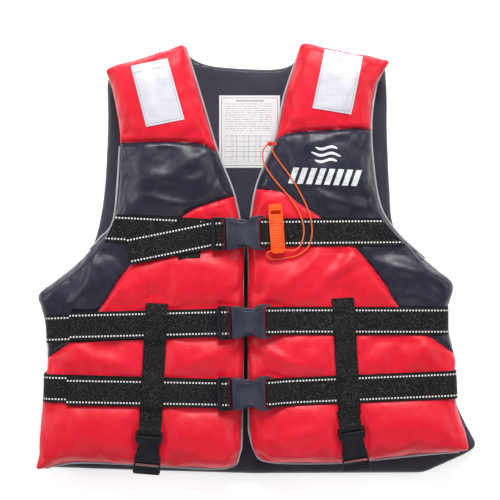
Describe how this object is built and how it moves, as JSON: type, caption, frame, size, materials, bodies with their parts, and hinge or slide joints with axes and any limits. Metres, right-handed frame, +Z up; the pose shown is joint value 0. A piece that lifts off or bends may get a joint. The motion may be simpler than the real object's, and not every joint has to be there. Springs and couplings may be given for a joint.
{
  "type": "life jacket",
  "caption": "Foam life jacket lying on its back: two padded fronts on a padded back, three belts with side-release buckles, crotch strap buckles, whistle on a cord.",
  "frame": {"origin": "centre of the jacket's footprint, on the surface it lies on", "axes": "+Z up out of the front, +Y towards the shoulders, +X towards the wearer's left"},
  "size_m": [0.5882, 0.5794, 0.0904],
  "materials": {
    "red_fabric": "satin",
    "navy_fabric": "satin",
    "lining_fabric": "matte",
    "foam": "matte",
    "black_webbing": "matte",
    "buckle_plastic": "satin",
    "reflective_film": "satin",
    "label_cloth": "matte",
    "whistle_plastic": "gloss",
    "whistle_cord": "satin"
  },
  "bodies": {
    "root": {"back_outer_cover": "navy_fabric", "back_foam_core": "foam", "back_inner_lining": "lining_fabric", "care_label": "label_cloth", "right_side_gusset": "navy_fabric", "left_side_gusset": "navy_fabric", "back_waist_belt": "black_webbing", "back_lower_belt": "black_webbing"},
    "front": {"right_lower_cover": "red_fabric", "right_chest_cover": "navy_fabric", "right_shoulder_cover": "red_fabric", "right_front_lining": "lining_fabric", "right_foam_core": "foam", "left_lower_cover": "red_fabric", "left_chest_cover": "navy_fabric", "left_shoulder_cover": "red_fabric", "left_front_lining": "lining_fabric", "left_foam_core": "foam", "right_reflective_patch": "reflective_film", "left_reflective_patch": "reflective_film", "right_chest_belt": "black_webbing", "left_chest_belt": "black_webbing", "chest_buckle_socket": "buckle_plastic", "right_waist_belt": "black_webbing", "left_waist_belt": "black_webbing", "waist_buckle_socket": "buckle_plastic", "right_lower_belt": "black_webbing", "left_lower_belt": "black_webbing", "lower_buckle_socket": "buckle_plastic", "chest_belt_keeper": "black_webbing", "right_crotch_strap": "black_webbing", "left_crotch_strap": "black_webbing", "whistle_cord": "whistle_cord", "whistle_cord_loop": "red_fabric"},
    "chest_plug": {"chest_buckle_plug": "buckle_plastic", "chest_belt_tail": "black_webbing"},
    "chest_upper_prong": {"chest_buckle_upper_prong": "buckle_plastic"},
    "chest_lower_prong": {"chest_buckle_lower_prong": "buckle_plastic"},
    "waist_plug": {"waist_buckle_plug": "buckle_plastic", "waist_belt_tail": "black_webbing"},
    "waist_upper_prong": {"waist_buckle_upper_prong": "buckle_plastic"},
    "waist_lower_prong": {"waist_buckle_lower_prong": "buckle_plastic"},
    "lower_plug": {"lower_buckle_plug": "buckle_plastic", "lower_belt_tail": "black_webbing"},
    "lower_upper_prong": {"lower_buckle_upper_prong": "buckle_plastic"},
    "lower_lower_prong": {"lower_buckle_lower_prong": "buckle_plastic"},
    "right_crotch_buckle": {"right_crotch_buckle_socket": "buckle_plastic"},
    "right_crotch_plug": {"right_crotch_buckle_plug": "buckle_plastic"},
    "right_crotch_upper_prong": {"right_crotch_buckle_upper_prong": "buckle_plastic"},
    "right_crotch_lower_prong": {"right_crotch_buckle_lower_prong": "buckle_plastic"},
    "left_crotch_buckle": {"left_crotch_buckle_socket": "buckle_plastic"},
    "left_crotch_plug": {"left_crotch_buckle_plug": "buckle_plastic"},
    "left_crotch_upper_prong": {"left_crotch_buckle_upper_prong": "buckle_plastic"},
    "left_crotch_lower_prong": {"left_crotch_buckle_lower_prong": "buckle_plastic"},
    "whistle": {"whistle": "whistle_plastic"}
  },
  "joints": [
    {"name": "front_lift", "type": "hinge", "parent": "root", "child": "front", "pos_m": [0, 0.29, 0.034], "axis": [-1, 0, 0], "range_deg": [0, 12]},
    {"name": "chest_release", "type": "slide", "parent": "front", "child": "chest_plug", "axis": [-0.9995, -0.0332, 0], "range_m": [0, 0.034]},
    {"name": "chest_upper_squeeze", "type": "hinge", "parent": "chest_plug", "child": "chest_upper_prong", "pos_m": [-0.03949, 0.04776, 0.0844], "axis": [0, 0, -1], "range_deg": [0, 8], "stiffness_Nm_per_rad": 0.02},
    {"name": "chest_lower_squeeze", "type": "hinge", "parent": "chest_plug", "child": "chest_lower_prong", "pos_m": [-0.03851, 0.01837, 0.0844], "axis": [0, 0, 1], "range_deg": [0, 8], "stiffness_Nm_per_rad": 0.02},
    {"name": "waist_release", "type": "slide", "parent": "front", "child": "waist_plug", "axis": [-0.9994, -0.0349, 0], "range_m": [0, 0.034]},
    {"name": "waist_upper_squeeze", "type": "hinge", "parent": "waist_plug", "child": "waist_upper_prong", "pos_m": [-0.03201, -0.07074, 0.0844], "axis": [0, 0, -1], "range_deg": [0, 8], "stiffness_Nm_per_rad": 0.02},
    {"name": "waist_lower_squeeze", "type": "hinge", "parent": "waist_plug", "child": "waist_lower_prong", "pos_m": [-0.03099, -0.10012, 0.0844], "axis": [0, 0, 1], "range_deg": [0, 8], "stiffness_Nm_per_rad": 0.02},
    {"name": "lower_release", "type": "slide", "parent": "front", "child": "lower_plug", "axis": [-0.9998, -0.0209, 0], "range_m": [0, 0.034]},
    {"name": "lower_upper_squeeze", "type": "hinge", "parent": "lower_plug", "child": "lower_upper_prong", "pos_m": [-0.03131, -0.16626, 0.0844], "axis": [0, 0, -1], "range_deg": [0, 8], "stiffness_Nm_per_rad": 0.02},
    {"name": "lower_lower_squeeze", "type": "hinge", "parent": "lower_plug", "child": "lower_lower_prong", "pos_m": [-0.03069, -0.19565, 0.0844], "axis": [0, 0, 1], "range_deg": [0, 8], "stiffness_Nm_per_rad": 0.02},
    {"name": "right_crotch_buckle_swing", "type": "hinge", "parent": "front", "child": "right_crotch_buckle", "pos_m": [-0.144, -0.2325, 0.0811], "axis": [-0.9969, 0.0785, 0], "range_deg": [0, 130]},
    {"name": "right_crotch_release", "type": "slide", "parent": "right_crotch_buckle", "child": "right_crotch_plug", "axis": [-0.0785, -0.9969, 0], "range_m": [0, 0.0272]},
    {"name": "right_crotch_upper_squeeze", "type": "hinge", "parent": "right_crotch_plug", "child": "right_crotch_upper_prong", "pos_m": [-0.15877, -0.27026, 0.0811], "axis": [0, 0, -1], "range_deg": [0, 8], "stiffness_Nm_per_rad": 0.02},
    {"name": "right_crotch_lower_squeeze", "type": "hinge", "parent": "right_crotch_plug", "child": "right_crotch_lower_prong", "pos_m": [-0.13532, -0.2721, 0.0811], "axis": [0, 0, 1], "range_deg": [0, 8], "stiffness_Nm_per_rad": 0.02},
    {"name": "left_crotch_buckle_swing", "type": "hinge", "parent": "front", "child": "left_crotch_buckle", "pos_m": [0.1255, -0.227, 0.0811], "axis": [-0.9888, -0.1495, 0], "range_deg": [0, 130]},
    {"name": "left_crotch_release", "type": "slide", "parent": "left_crotch_buckle", "child": "left_crotch_plug", "axis": [0.1495, -0.9888, 0], "range_m": [0, 0.0272]},
    {"name": "left_crotch_upper_squeeze", "type": "hinge", "parent": "left_crotch_plug", "child": "left_crotch_upper_prong", "pos_m": [0.11967, -0.26712, 0.0811], "axis": [0, 0, -1], "range_deg": [0, 8], "stiffness_Nm_per_rad": 0.02},
    {"name": "left_crotch_lower_squeeze", "type": "hinge", "parent": "left_crotch_plug", "child": "left_crotch_lower_prong", "pos_m": [0.14293, -0.2636, 0.0811], "axis": [0, 0, 1], "range_deg": [0, 8], "stiffness_Nm_per_rad": 0.02},
    {"name": "whistle_tilt", "type": "hinge", "parent": "front", "child": "whistle", "pos_m": [0.02817, 0.01027, 0.0852], "axis": [0.9978, 0.0663, 0], "range_deg": [0, 70]}
  ],
  "couplings": [
    {"joint": "chest_lower_squeeze", "follows": "chest_upper_squeeze", "ratio": 1},
    {"joint": "waist_lower_squeeze", "follows": "waist_upper_squeeze", "ratio": 1},
    {"joint": "lower_lower_squeeze", "follows": "lower_upper_squeeze", "ratio": 1},
    {"joint": "right_crotch_lower_squeeze", "follows": "right_crotch_upper_squeeze", "ratio": 1},
    {"joint": "left_crotch_lower_squeeze", "follows": "left_crotch_upper_squeeze", "ratio": 1}
  ]
}
